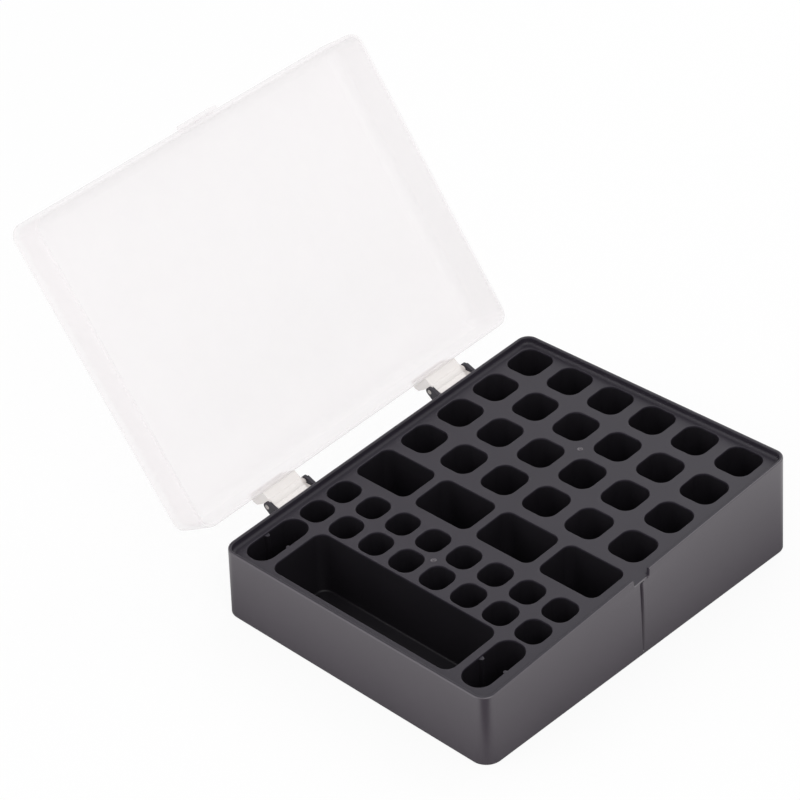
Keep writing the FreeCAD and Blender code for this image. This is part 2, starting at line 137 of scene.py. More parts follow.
# Stations of the mesh across the groove, from its line, and round each end of the notch.
GROOVE_STATIONS = (-2.6, -1.7, -1.3, -0.9, -0.45, 0.0, 0.25, 0.45, 0.7, 1.1, 1.7, 2.6)
NOTCH_STATIONS = (-0.35, -NOTCH_SLANT / 2, NOTCH_SLANT / 2, 0.35)

# Strips of the groove that take the darker matt plastic as painted shade: first band of faces, band past
# the last, start and end across it.
GROOVE_PAINTED_SHADE = ((6, 10, -0.45, 0), (10, 13, -0.9, 0), (13, 15, -0.45, 0.45))

CATCH_SPAN = (0.7, 3.6)     # start and end of the catch bump behind the groove's line
CATCH_DEPTHS = (3.7, 2.75)  # its foot and top below the rim
CATCH_REACH = 0.3           # how far it stands out of the wall
CATCH_ROOT = 0.6            # how far it goes into the wall
CATCH_BEVEL = 0.12

GATE_MARKS = ((-1.5, 42.5), (-1.5, -38.5))      # middles of the two gate marks on the deck
GATE_PROFILE = ((1.2, -0.2), (1.15, 0.06), (0.95, 0.16), (0.7, 0.02),
                (0.45, 0.02), (0.35, 0.22), (0.1, 0.26))         # radius and height, from the outside in
GATE_STEP = 24.0            # degrees between two stations of a gate mark

# A ring beside each rounded edge keeps the flat face next to it flat. These are their distances.
DECK_HOLD = 0.12            # round a mouth, and at the top of the ribs
FLOOR_HOLD = 0.3            # on the floors
WALL_HOLD = 1.0             # on the walls of the wells
CUP_HOLD = 0.5              # on the outside of the cups
RIM_HOLD = 0.05             # on the rim, as a share of its height
LID_HOLD = 0.6              # on the lid

# How finely the pieces are meshed: faces round a corner, and places of the stations on a straight side as
# shares of its half length.
WELL_ARC = 8
WELL_PLACES = np.linspace(-0.8, 0.8, 5)
SLOT_PLACES = (-0.9, -0.6, -0.3, 0.3, 0.6, 0.9)
RIB_PLACES = (-1.3, -1, -0.5, 0, 0.5, 1, 1.3)   # round a slot's rib, as shares of the rib's half width
CASE_ARC = 14
CASE_PLACES = np.linspace(-0.98, 0.98, 24)
LATCH_PLACES = np.linspace(-0.98, 0.98, 21)
LATCH_FREE = 0.56           # share beyond which the latch wall has only these places
LATCH_MIDDLE = 40.0         # stations a step apart reach this far from the latch
LATCH_STEP = 4.0
LID_ARC = 12
LID_PLACES = np.linspace(-0.95, 0.95, 15)
LID_LEVELS = (0.25, 0.5, 0.75)                  # rings up the lid's walls, as shares of the inside depth
FOLD_STEPS = 6              # faces across a wide quarter round
FLOOR_STEPS = 5
EDGE_STEPS = 4
LID_EDGE_STEPS = 3
ON_SIDE = 0.99              # a station whose normal has more of x is on a straight side
SHARP_ANGLE = 35            # edges that turn by more are shaded sharp

# ---------------------------------------------------------------- sizes that follow
tilt = math.tan(math.radians(SLOPE))
draft = math.tan(math.radians(WALL_DRAFT))
well_slant = math.tan(math.radians(WELL_DRAFT))
deck_mid = RIM_MID_HEIGHT - RIM_HEIGHT / math.cos(math.radians(SLOPE))
latch_y = FITTINGS_S * math.cos(math.radians(SLOPE))

case_low, case_high = (np.array(corner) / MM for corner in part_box("case_walls"))
case_middle = (case_low + case_high) / 2
foot = (case_high - case_low)[:2] / 2
inner = foot - WALL - draft * deck_mid
rim_half = foot - draft * RIM_MID_HEIGHT
field_low = -inner + np.array([BORDER["left"], BORDER["front"]])
field_high = inner - np.array([BORDER["right"], BORDER["back"]])
field_middle = (field_low[0] + field_high[0]) / 2


def deck_height(y):
    """Height of the deck's upper face at a distance y from the middle of the case."""
    return deck_mid + y * tilt


def rim_height(y):
    """Height of the top of the rim at a distance y from the middle of the case."""
    return RIM_MID_HEIGHT + y * tilt


# ---------------------------------------------------------------- outlines as whole arrays
def stations(arc, sides):
    """Stations round a rounded rectangle, anticlockwise.

    Gives three arrays: share, a station's place as a share of the straight half sizes, normal, which
    points outwards, and reach, how far the station goes out in x and in y when the outline grows into a
    plain rectangle. arc is the number of faces round a corner. sides holds, for the right, top, left and
    bottom side, the places of the stations between its two corners, from -1 to 1.
    """
    share, normal, reach = [], [], []
    turns = np.linspace(0, 90, arc + 1)
    for k, ((sx, sy), places) in enumerate(zip(((1, 1), (-1, 1), (-1, -1), (1, -1)), sides)):
        along = np.array(places, float) * (1 if k in (0, 3) else -1)
        flat = np.zeros_like(along)
        one = flat + 1
        if k % 2 == 0:
            share.append(np.column_stack([one * sx, along]))
            normal.append(np.column_stack([one * sx, flat]))
            reach.append(np.column_stack([one, flat]))
        else:
            share.append(np.column_stack([along, one * sy]))
            normal.append(np.column_stack([flat, one * sy]))
            reach.append(np.column_stack([flat, one]))
        a = turns if k % 2 == 0 else turns[::-1]
        share.append(np.tile([sx, sy], (arc + 1, 1)) * 1.0)
        normal.append(np.column_stack([sx * np.cos(np.radians(a)), sy * np.sin(np.radians(a))]))
        reach.append(np.column_stack([np.minimum(1, (90 - a) / 45), np.minimum(1, a / 45)]))
    return order_round(np.concatenate(share), np.concatenate(normal), np.concatenate(reach))


def order_round(share, normal, reach):
    """Sort stations by their angle round a unit outline, so that every ring runs the same way.

    The unit outline is a square of half size 1 with corners of radius 0.5 added outside it.
    """
    spot = share + 0.5 * normal
    order = np.argsort(np.arctan2(spot[:, 1], spot[:, 0]), kind="stable")
    return share[order], normal[order], reach[order]


def outline(kind, half, radius, offset=0.0):
    """Points of a rounded rectangle of half sizes half, pushed out by offset along its normals.

    A corner keeps its least radius, also when the outline is taken in by more than its own.
    """
    share, normal, _ = kind
    offset = np.asarray(offset, float)
    offset = offset[:, None] if offset.ndim else offset
    push = np.maximum(radius + offset, LEAST_ROUND)
    return share * (np.asarray(half) + offset - push) + normal * push


def tile_outline(kind, half, radius, low, high):
    """The same stations spread out on a plain rectangle from low to high, each by its reach."""
    share, normal, reach = kind
    base = share * (np.asarray(half) - radius)
    side = np.where(share + normal > 0, high, low)
    return base + (side - base) * reach


def lift(points, z):
    """Add heights to plane points."""
    return np.column_stack([points, np.broadcast_to(z, len(points))])


def quarter(steps):
    """Sine and cosine of a quarter turn in equal steps."""
    turn = np.radians(np.linspace(0, 90, steps + 1))
    return list(zip(np.sin(turn), np.cos(turn)))


# ---------------------------------------------------------------- meshes
def loft(rings, around=False):
    """Vertices and faces of a skin through rings of equal length.

    Four neighbours on two rings make a face. The ends are capped, or around joins the last to the first.
    """
    rings = np.array(rings)
    levels, count = rings.shape[:2]
    steps = levels if around else levels - 1
    i = np.arange(steps)[:, None] * count
    j = (np.arange(steps)[:, None] + 1) % levels * count
    k = np.arange(count)[None, :]
    m = (k + 1) % count
    quads = np.stack([i + k, i + m, j + m, j + k], axis=-1).reshape(-1, 4)
    faces = quads.tolist()
    if not around:
        faces.append(list(range(count - 1, -1, -1)))
        faces.append(list(range((levels - 1) * count, levels * count)))
    return rings.reshape(-1, 3), faces


def piece(name, parts, body, materials, nodes):
    """One object from parts in the case frame, riding on a CAD body.

    A part is its vertices in mm, its faces, and the numbers of the faces that take the second material.
    """
    verts, faces, second = [], [], []
    for points, polygons, chosen in parts:
        start = sum(len(block) for block in verts)
        second += [len(faces) + index for index in chosen]
        verts.append(points)
        faces += [[start + index for index in polygon] for polygon in polygons]
    points = (np.concatenate(verts) + [case_middle[0], case_middle[1], 0]) * MM
    mesh = bpy.data.meshes.new(name)
    mesh.from_pydata(points.tolist(), [], faces)
    work = bmesh.new()
    work.from_mesh(mesh)
    bmesh.ops.recalc_face_normals(work, faces=work.faces)
    work.to_mesh(mesh)
    work.free()
    mesh.polygons.foreach_set("use_smooth", [True] * len(mesh.polygons))
    mesh.set_sharp_from_angle(angle=math.radians(SHARP_ANGLE))
    for material in materials:
        mesh.materials.append(material)
    for index in second:
        mesh.polygons[index].material_index = 1
    thing = bpy.data.objects.new(name, mesh)
    bpy.context.scene.collection.objects.link(thing)
    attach(thing, body)
    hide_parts(*nodes)


# ---------------------------------------------------------------- wells
def slot_side(half, radius):
    """Places of the stations on a slot's long side: spread out, and close together at the rib."""
    rib = NUB_WIDTH / 2 / (half[1] - radius)
    return np.unique([*SLOT_PLACES, *(share * rib for share in RIB_PLACES)])


def nub_push(kind, half, radius):
    """How far the ribs of a slot stand in from its two long sides at each station.

    It falls in a straight line from the middle of the side to nothing at half the rib's width, and is cut
    off at the rib's reach, which leaves a flat crest.
    """
    share, normal, _ = kind
    y = share[:, 1] * (half[1] - radius)
    rise = RIB_STEEPNESS - RIB_STEEPNESS * np.abs(y) / (NUB_WIDTH / 2)
    return -NUB_REACH * (np.clip(rise, 0, 1) * (np.abs(normal[:, 0]) > ON_SIDE))


def well(middle, size, radius, low, high, nubs=False):
    """Closed skin of one well, as rings from the middle of its floor to the middle of the cup's underside.

    On the way they follow a quarter round at the floor, the drafted wall, a quarter round at the mouth, the
    tile of the deck from low to high, and the cup's outside with its rounded foot. nubs adds a slot's ribs.
    Also gives the numbers of the faces inside the well, below its rounded mouth, which take the painted
    shade.
    """
    middle = np.array(middle)
    half = np.array(size) / 2
    side = slot_side(half, radius) if nubs else WELL_PLACES
    kind = stations(WELL_ARC, (side, WELL_PLACES, side, WELL_PLACES))
    push = nub_push(kind, half, radius) if nubs else np.zeros(len(kind[0]))
    top = deck_height(middle[1])

    def ring(offset, z, follow=True, rib=1):
        """Ring at an offset from the drafted wall, with rib as the share of the ribs.

        z is a height, or a depth below the deck if follow.
        """
        plane = outline(kind, half, radius, offset + rib * push) + middle
        height = deck_height(plane[:, 1]) - z if follow else np.full(len(plane), z)
        plane = outline(kind, half, radius, offset + rib * push + well_slant * (height - top)) + middle
        return lift(plane, height)

    def cup(offset, z, follow=True):
        """Ring of the outside of the cup, kept inside its own tile."""
        points = ring(WELL_WALL + offset, z, follow, rib=0)
        points[:, :2] = np.clip(points[:, :2], low, high)
        return points

    rings = [ring(-FLOOR_ROUND - 4 * FLOOR_HOLD, WELL_FLOOR_TOP, False)]
    rings.append(ring(-FLOOR_ROUND - FLOOR_HOLD, WELL_FLOOR_TOP, False))
    for sine, cosine in quarter(FLOOR_STEPS)[::-1]:
        rings.append(ring(-FLOOR_ROUND * (1 - cosine), WELL_FLOOR_TOP + FLOOR_ROUND * (1 - sine), False))
    rings += [ring(0, WELL_FLOOR_TOP + FLOOR_ROUND + WALL_HOLD, False), ring(0, RIB_DROP)]
    inside = (len(rings) - 1) * len(push)
    rings.append(ring(0, RIB_DROP - DECK_HOLD, rib=0))
    for sine, cosine in quarter(EDGE_STEPS)[::-1]:
        rings.append(ring(MOUTH_ROUND * (1 - sine), MOUTH_ROUND * (1 - cosine), rib=0))
    rings.append(ring(MOUTH_ROUND + DECK_HOLD, 0, rib=0))
    tile = tile_outline(kind, half, radius, np.array(low) - middle, np.array(high) - middle) + middle
    rings += [lift(tile, deck_height(tile[:, 1])), lift(tile, deck_height(tile[:, 1]) - DECK)]
    out, down = CUP_FLARE
    rings += [cup(out, DECK), cup(0, DECK + down), cup(0, WELL_FOOT_GAP + FOOT_ROUND + CUP_HOLD, False)]
    for sine, cosine in quarter(EDGE_STEPS):
        rings.append(cup(-FOOT_ROUND * (1 - cosine), WELL_FOOT_GAP + FOOT_ROUND * (1 - sine), False))
    rings.append(cup(-FOOT_ROUND - FLOOR_HOLD, WELL_FOOT_GAP, False))
    points, faces = loft(rings)
    floor_cap = len(faces) - 2
    return points, faces, [*range(inside), floor_cap]


def row_layout():
    """Middle of each row along the case, and front and back edge of its share of the deck, tray first.

    Rows follow each other by their lengths and webs, and the deck is split in the middle of each web.
    """
    rows = [["tray", field_low[1] + FRONT_WEB, TRAY[1]]]
    for node, (_, length, _, _, _), web in ROWS:
        rows.append([node, rows[-1][1] + rows[-1][2] + web, length])
    plan = {}
    for k, (node, front, length) in enumerate(rows):
        low = field_low[1] if k == 0 else (rows[k - 1][1] + rows[k - 1][2] + front) / 2
        high = field_high[1] if k == len(rows) - 1 else (front + length + rows[k + 1][1]) / 2
        plan[node] = (front + length / 2, low, high)
    return plan


def make_wells(deck, pocket_shade):
    """All rows of wells, the tray and the two slots, each standing for its CAD node."""
    plan = row_layout()
    for node, (size_x, size_y, corner, count, web), _ in ROWS:
        y, low, high = plan[node]
        pitch = size_x + web
        parts = []
        for k in range(count):
            x = field_middle + (k - (count - 1) / 2) * pitch
            left = field_low[0] if k == 0 else x - pitch / 2
            right = field_high[0] if k == count - 1 else x + pitch / 2
            parts.append(well((x, y), (size_x, size_y), corner, (left, low), (right, high)))
        piece(node.replace("wells", "cups"), parts, "case", [deck, pocket_shade], [node])
    y, low, high = plan["tray"]
    reach = (TRAY[0] + SLOT_WEB) / 2
    left, right = field_middle - reach, field_middle + reach
    tray = well((field_middle, y), TRAY[:2], TRAY[2], (left, low), (right, high))
    piece("front_tray", [tray], "case", [deck, pocket_shade], ["tray_well"])
    for name, way in (("left", -1), ("right", 1)):
        x = field_middle + way * (TRAY[0] / 2 + SLOT_WEB + SLOT[0] / 2)
        ends = sorted((field_middle + way * reach, field_low[0] if way < 0 else field_high[0]))
        slot = well((x, y), SLOT[:2], SLOT[2], (ends[0], low), (ends[1], high), nubs=True)
        piece("end_slot_" + name, [slot], "case", [deck, pocket_shade], ["slot_well_" + name])


# ---------------------------------------------------------------- case walls
def latch_places():
    """Places of the stations down the latch wall, as shares of its straight length.

    They are close together at the groove and the notch's ends, a step apart over the middle of the wall,
    and spread out beyond it.
    """
    straight = foot[1] - CORNER
    offsets = list(GROOVE_STATIONS)
    for end in (-NOTCH_WIDTH / 2, NOTCH_WIDTH / 2):
        offsets += [end + step for step in NOTCH_STATIONS]
    offsets += list(np.arange(-LATCH_MIDDLE, LATCH_MIDDLE + 1, LATCH_STEP))
    places = (latch_y + np.array(sorted(set(offsets)))) / straight
    return np.unique(np.concatenate([places, LATCH_PLACES[np.abs(LATCH_PLACES) > LATCH_FREE]]))


def latch_forms(latch, away):
    """Forms of the latch wall at each station, from its distance away from the middle of the latch.

    rim is the rim's height, which drops to the sill between the leaning ends of the notch. swell is a bell
    curve. The grooves at the top and the foot are a V with its own width on both sides. lip is a ridge
    beside it, and hook a recess between two places.
    """
    notch = latch * np.clip((NOTCH_WIDTH / 2 + NOTCH_SLANT / 2 - np.abs(away)) / NOTCH_SLANT, 0, 1)
    forms = {"rim": RIM_HEIGHT - notch * (RIM_HEIGHT - NOTCH_SILL),
             "swell": latch * BULGE * np.exp(-(away / BULGE_SPREAD) ** 2),
             "lip": latch * LIP * np.clip(1 - np.abs(away - LIP_PLACE) / LIP_HALF, 0, 1),
             "hook": latch * HOOK * ((away > HOOK_SPAN[0]) & (away < HOOK_SPAN[1]))}
    for end, (before, behind, depth) in GROOVE.items():
        flank = 1 - np.abs(away) / np.where(away < 0, before, behind)
        forms["groove_" + end] = latch * depth * np.clip(flank, 0, 1)
    return forms


def groove_ring(bottom, top, share, swell):
    """Ring part of the way up the outer wall, straight between two others but for the swelling."""
    level = bottom + (top - bottom) * share
    level[:, 0] += swell * math.sin(math.pi * share)
    return level


def painted_shade_faces(latch, away):
    """Numbers of the faces of the groove that take the matt plastic as painted shade."""
    middles = (away + np.roll(away, -1)) / 2
    faces = []
    for first, last, low, high in GROOVE_PAINTED_SHADE:
        strip = np.flatnonzero(latch & (middles > low) & (middles < high))
        faces += [band * len(away) + index for band in range(first, last) for index in strip]
    return faces


def make_case_walls(smooth, matt):
    """Outer walls, rim, inner corner and the deck outside the field of wells, as one closed band.

    Its rings go from the foot up the outside with the forms of the latch wall, over the rounded rim, down
    a quarter round to the deck, in to the field, and back under the deck.
    """
    kind = stations(CASE_ARC, (latch_places(), CASE_PLACES, CASE_PLACES, CASE_PLACES))
    base = outline(kind, foot, CORNER)
    latch = kind[1][:, 0] > ON_SIDE
    away = base[:, 1] - latch_y
    forms = latch_forms(latch, away)

    def ring(inset, z, from_rim=True, extra=0.0):
        """Ring taken in from the drafted outer wall. z is a depth below the rim's plane if from_rim.

        Its place depends on its height and its height on its place, and three rounds settle both.
        """
        height = np.full(len(base), RIM_MID_HEIGHT)
        for _ in range(3):
            plane = outline(kind, foot, CORNER, extra - inset - draft * height)
            height = rim_height(plane[:, 1]) - z if from_rim else np.full(len(base), z * 1.0)
        return lift(plane, height)

    def above_deck(inset, up):
        """Ring at a share of the rim's height above the deck, which drops in the notch."""
        return ring(inset, RIM_HEIGHT - forms["rim"] * up)

    rings = [ring(WALL, FOOT_BEVEL, False), ring(WALL - FOOT_BEVEL, 0, False), ring(FOOT_BEVEL, 0, False),
             ring(FOOT_BREAK, FOOT_BREAK, False), ring(0, FOOT_BEVEL, False), ring(0, GROOVE_FOOT, False)]
    bottom = ring(0, GROOVE_FOOT + GROOVE_RUN, False, -forms["groove_foot"])
    top = ring(0, GROOVE_TOP, True, SWELL_AT_TOP * forms["swell"] - forms["groove_top"] + forms["lip"])
    between = [groove_ring(bottom, top, share, forms["swell"]) for share in GROOVE_LEVELS]
    rings += [bottom, *between, top]
    rings.append(ring(0, GROOVE_TOP - GROOVE_RUN, True, SWELL_ABOVE * forms["swell"] - forms["hook"]))
    rings.append(ring(0, RIM_HEIGHT + HOOK_END[0], True, -HOOK_LEFT * forms["hook"]))
    rings.append(ring(0, RIM_HEIGHT + HOOK_END[1]))
    rings += [above_deck(0, 0.5), above_deck(0, 1 - RIM_ROUND / RIM_HEIGHT - RIM_HOLD)]
    for sine, cosine in quarter(EDGE_STEPS):
        rings.append(above_deck(RIM_ROUND * (1 - cosine), 1 - RIM_ROUND / RIM_HEIGHT * (1 - sine)))
    outside = len(rings)
    for sine, cosine in quarter(EDGE_STEPS)[::-1]:
        rings.append(above_deck(RIM - RIM_ROUND * (1 - cosine), 1 - RIM_ROUND / RIM_HEIGHT * (1 - sine)))
    rings.append(above_deck(RIM, RIM_FILLET / RIM_HEIGHT + 2 * RIM_HOLD))
    for sine, cosine in quarter(FOLD_STEPS):
        rings.append(above_deck(RIM + RIM_FILLET * (1 - cosine), RIM_FILLET / RIM_HEIGHT * (1 - sine)))
    field = np.clip(tile_outline(kind, foot, CORNER, field_low, field_high), field_low, field_high)
    rings += [lift(field, deck_height(field[:, 1])), lift(field, deck_height(field[:, 1]) - DECK)]
    inwards, down = UNDER_FILLET
    rings += [ring(WALL + inwards, RIM_HEIGHT + DECK), ring(WALL, RIM_HEIGHT + DECK + down)]
    points, faces = loft(rings, around=True)
    # The groove's strips take the matt plastic as painted shade; from the rim's top on it is the deck's own
    # finish.
    matt_and_painted_shade = [*painted_shade_faces(latch, away), *range((outside - 1) * len(base), len(rings) * len(base))]
    wall = (points, faces, matt_and_painted_shade)
    piece("case_walls_and_rim", [wall], "case", [smooth, matt], ["case_walls"])


def bevelled_bar(low, high, bevel):
    """Closed skin of a bar from low to high with all its edges taken off at 45 degrees."""
    low, high = np.array(low, float), np.array(high, float)
    rings = []
    for z, inset in ((low[2], bevel), (low[2] + bevel, 0), (high[2] - bevel, 0), (high[2], bevel)):
        (x0, y0), (x1, y1) = low[:2] + inset, high[:2] - inset
        rings.append([(x1, y0 + bevel, z), (x1, y1 - bevel, z), (x1 - bevel, y1, z), (x0 + bevel, y1, z),
                      (x0, y1 - bevel, z), (x0, y0 + bevel, z), (x0 + bevel, y0, z), (x1 - bevel, y0, z)])
    return loft(rings)


def make_catch(material):
    """Small bump on the latch wall beside the top of the groove: a bevelled bar set into the wall."""
    z = rim_height(latch_y)
    face = rim_half[0] + draft * RIM_HEIGHT
    low = (face - CATCH_ROOT, latch_y + CATCH_SPAN[0], z - CATCH_DEPTHS[0])
    high = (face + CATCH_REACH, latch_y + CATCH_SPAN[1], z - CATCH_DEPTHS[1])
    bump = (*bevelled_bar(low, high, CATCH_BEVEL), [])
    piece("catch_bump", [bump], "case", [material], ["latch_catch"])


def make_gate_marks(material):
    """Two round marks of the moulding gates, on the webs before and behind the middle of the case.

    Each is a profile turned about an upright axis, with its heights counted from the sloping deck.
    """
    turn = np.radians(np.arange(0, 360, GATE_STEP))
    parts = []
    for x, y in GATE_MARKS:
        z = deck_height(y)
        rings = []
        for radius, up in GATE_PROFILE:
            plane = np.column_stack([x + radius * np.cos(turn), y + radius * np.sin(turn)])
            rings.append(lift(plane, z + (plane[:, 1] - y) * tilt + up))
        parts.append((*loft(rings), []))
    piece("gate_marks", parts, "case", [material], [])


# ---------------------------------------------------------------- lid
hinge = frame["record"]["behaviour"]["joints"][0]
OPEN_ANGLE = hinge["range_deg"][1]
hinge_point = np.array(hinge["pos_m"]) / MM - [case_middle[0], case_middle[1], 0]
hinge_axis = np.array(hinge["axis"])


def to_open_lid(points):
    """Points drawn in the slope frame with the lid closed, moved to the open lid in the case frame."""
    slope = np.array(Matrix.Rotation(math.radians(SLOPE), 3, "X"))
    level = points @ slope.T + [0, 0, RIM_MID_HEIGHT]
    swing = np.array(Matrix.Rotation(math.radians(-OPEN_ANGLE), 3, Vector(hinge_axis)))
    return (level - hinge_point) @ swing.T + hinge_point


def make_lid_shell(material):
    """Plate and four walls as one closed skin, from the inside of the plate round the rim to the outside.

    A ring is the outline of the lid's rim, taken in by an inset and by the walls' slant at its height n
    above the closed rim. Both folds and both edges of the rim are quarter rounds.
    """
    kind = stations(LID_ARC, (LID_PLACES,) * 4)
    half = np.array([rim_half[0], rim_half[1] / math.cos(math.radians(SLOPE))]) - LID_INSET
    slant = math.tan(math.radians(LID_DRAFT))

    def ring(inset, n):
        """Ring at an inset from the slanting outer wall and a height n."""
        return lift(outline(kind, half, LID_CORNER, -inset - slant * (n - SEAT_GAP)), n)

    ceiling = LID_DEPTH - LID_PLATE
    fold = LID_WALL + LID_INNER_ROUND
    rings = [ring(fold + LID_FLAT, ceiling), ring(fold + LID_HOLD, ceiling)]
    for sine, cosine in quarter(FOLD_STEPS)[::-1]:
        inset = LID_WALL + LID_INNER_ROUND * (1 - cosine)
        rings.append(ring(inset, ceiling - LID_INNER_ROUND * (1 - sine)))
    rings += [ring(LID_WALL, ceiling * share) for share in LID_LEVELS[::-1]]
    rings.append(ring(LID_WALL, SEAT_GAP + LID_HOLD))
    for sine, cosine in quarter(LID_EDGE_STEPS):
        rings.append(ring(LID_WALL - LID_EDGE_ROUND * (1 - cosine), SEAT_GAP + LID_EDGE_ROUND * (1 - sine)))
    for sine, cosine in quarter(LID_EDGE_STEPS)[::-1]:
        rings.append(ring(LID_EDGE_ROUND * (1 - cosine), SEAT_GAP + LID_EDGE_ROUND * (1 - sine)))
    rings.append(ring(0, SEAT_GAP + LID_HOLD))
    rings += [ring(0, ceiling * share) for share in LID_LEVELS]
    for sine, cosine in quarter(FOLD_STEPS):
        rings.append(ring(LID_FILLET * (1 - cosine), LID_DEPTH - LID_FILLET * (1 - sine)))
    rings += [ring(LID_FILLET + LID_HOLD, LID_DEPTH), ring(LID_FILLET + LID_FLAT, LID_DEPTH)]
    points, faces = loft(rings)
    shell = (to_open_lid(points), faces, [])
    piece("lid_cover", [shell], "lid", [material], ["lid_shell"])


# ---------------------------------------------------------------- materials
CLOUD_SCALE = 28            # of the broad clouds in every plastic
GRAIN_SCALE = 2600
CLOUD_EDGES = (0.3, 0.7)    # cloud values at which the two tones are full
ROUGHNESS_SWING = 0.05      # of the roughness to both sides of its mean
GRAIN_STRENGTH = 0.12

# Tones of each plastic: in the hollows and on the heights of its clouds.
SMOOTH_BLACK = ((0.050, 0.041, 0.053), (0.057, 0.047, 0.060))
MATT_BLACK = ((0.0185, 0.015, 0.0235), (0.0235, 0.0195, 0.029))
# The wells' insides: the case's black made darker and duller as painted shade.
WELL_PAINTED_SHADE = ((0.0095, 0.0083, 0.0108), (0.0125, 0.011, 0.0142))
MILKY = ((0.95, 0.915, 0.925), (0.97, 0.935, 0.947))
DENSE_MILKY = ((0.90, 0.845, 0.815), (0.93, 0.875, 0.845))


def new_material(name):
    """Empty node material with its nodes and links."""
    material = bpy.data.materials.new(name)
    material.use_nodes = True
    material.node_tree.nodes.clear()
    return material, material.node_tree.nodes, material.node_tree.links


def moulded_surface():
    """Node group of a moulded surface: broad clouds and fine grain, in Object coordinates.

    Both are noises from 0 to 1, each with its own scale.
    """
    group = bpy.data.node_groups.new("moulded_surface", "ShaderNodeTree")
    for name in ("Cloud Scale", "Grain Scale"):
        group.interface.new_socket(name, in_out="INPUT", socket_type="NodeSocketFloat")
    for name in ("Cloud", "Grain"):
        group.interface.new_socket(name, in_out="OUTPUT", socket_type="NodeSocketFloat")
    nodes, links = group.nodes, group.links
    inside, outside = nodes.new("NodeGroupInput"), nodes.new("NodeGroupOutput")
    place = nodes.new("ShaderNodeTexCoord")
    for name, detail in (("Cloud", 4), ("Grain", 2)):
        noise = nodes.new("ShaderNodeTexNoise")
        noise.inputs["Detail"].default_value = detail
        links.new(place.outputs["Object"], noise.inputs["Vector"])
        links.new(inside.outputs[name + " Scale"], noise.inputs["Scale"])
        links.new(noise.outputs["Fac"], outside.inputs[name])
    return group


def plastic(name, surface, tones, roughness, refraction, grain_depth):
    """Plastic of two clouded tones, with uneven roughness and a bump of fine grain.

    tones are the colours in the hollows and on the heights of the clouds, and roughness is its mean.
    """
    material, nodes, links = new_material(name)
    out = nodes.new("ShaderNodeOutputMaterial")
    skin = nodes.new("ShaderNodeBsdfPrincipled")
    skin.inputs["IOR"].default_value = refraction
    pattern = nodes.new("ShaderNodeGroup")
    pattern.node_tree = surface
    pattern.inputs["Cloud Scale"].default_value = CLOUD_SCALE
    pattern.inputs["Grain Scale"].default_value = GRAIN_SCALE
    colour = nodes.new("ShaderNodeValToRGB")
    for element, spot, tone in zip(colour.color_ramp.elements, CLOUD_EDGES, tones):
        element.position = spot
        element.color = (*tone, 1)
    rough = nodes.new("ShaderNodeMapRange")
    rough.inputs["To Min"].default_value = roughness - ROUGHNESS_SWING
    rough.inputs["To Max"].default_value = roughness + ROUGHNESS_SWING
    bump = nodes.new("ShaderNodeBump")
    bump.inputs["Strength"].default_value = GRAIN_STRENGTH
    bump.inputs["Distance"].default_value = grain_depth * MM
    links.new(pattern.outputs["Cloud"], colour.inputs["Fac"])
    links.new(pattern.outputs["Cloud"], rough.inputs["Value"])
    links.new(pattern.outputs["Grain"], bump.inputs["Height"])
    links.new(colour.outputs["Color"], skin.inputs["Base Color"])
    links.new(rough.outputs["Result"], skin.inputs["Roughness"])
    links.new(bump.outputs["Normal"], skin.inputs["Normal"])
    links.new(skin.outputs["BSDF"], out.inputs["Surface"])
    return material


def milky_plastic(name, surface, tones, thin, thick):
    """Milky, slightly see-through plastic with a satin skin.

    How much it covers goes from thin to thick with its clouds.
    """
    material = plastic(name, surface, tones, roughness=0.32, refraction=1.46, grain_depth=0.01)
    nodes, links = material.node_tree.nodes, material.node_tree.links
    veil = nodes.new("ShaderNodeMapRange")
    veil.inputs["To Min"].default_value = thin
    veil.inputs["To Max"].default_value = thick
    links.new(nodes["Group"].outputs["Cloud"], veil.inputs["Value"])
    links.new(veil.outputs["Result"], nodes["Principled BSDF"].inputs["Alpha"])
    return material


def dress_nodes(other, chosen):
    """Give the CAD nodes their materials: the one chosen for the start of their name, or the other one."""
    for name, thing in frame["nodes"].items():
        fitting = [material for start, material in chosen.items() if name.startswith(start)]
        for slot in thing.material_slots:
            slot.material = fitting[0] if fitting else other


# ---------------------------------------------------------------- studio
CAMERA_PLACE = (536.446, -566.535, 605.759)     # from the middle of the case on the table
CAMERA_TURN = (56.1287, 2.7013, 44.3927)        # about X, Y and Z
CAMERA_LENS = 117.105
CAMERA_SENSOR = 36.0
CAMERA_SIGHT = 50                               # farthest thing seen, in metres
# Painted shade on the table, seen in mirrored rays: dim round the case's foot and darker off its near
# corner.
SHADE_REACH = 50.0                            # how far the dim zone round the foot goes
SHADE_LEVEL = 0.25
CORNER_SHADE_REACH = 12.0                             # how far past both sides of the near corner it is dimmest
CORNER_SHADE_LEVEL = 0.05
TABLE_HALF = 3.0                                # in metres, as are the next value and the soft boxes
TABLE_DROP = 0.0002                             # the table lies this far under the foot
TABLE_TONE = (0.9, 0.9, 0.9, 1)
TABLE_WHITE = 0.9                               # share of plain white in the table that the camera sees
WORLD_LEVEL = 0.97

# Soft boxes over the back, over the latch side and before the front: place, aim, size and power.
SOFT_BOXES = {"back_box": ((-0.2, 0.9, 0.9), (0.05, 0, 0), 0.8, 3),
              "side_box": ((0.95, -0.45, 0.95), (-0.05, 0, 0.05), 0.8, 4),
              "front_box": ((-0.45, -1.0, 0.6), (-0.02, 0, 0.05), 0.7, 2.2)}


def make_camera():
    """Long lens above the front latch corner."""
    lens = bpy.data.cameras.new("camera")
    lens.lens = CAMERA_LENS
    lens.sensor_width = CAMERA_SENSOR
    lens.clip_end = CAMERA_SIGHT
    camera = bpy.data.objects.new("camera", lens)
    camera.location = (np.array(CAMERA_PLACE) + [case_middle[0], case_middle[1], 0]) * MM
    camera.rotation_euler = [math.radians(angle) for angle in CAMERA_TURN]
    bpy.context.scene.collection.objects.link(camera)
    bpy.context.scene.camera = camera


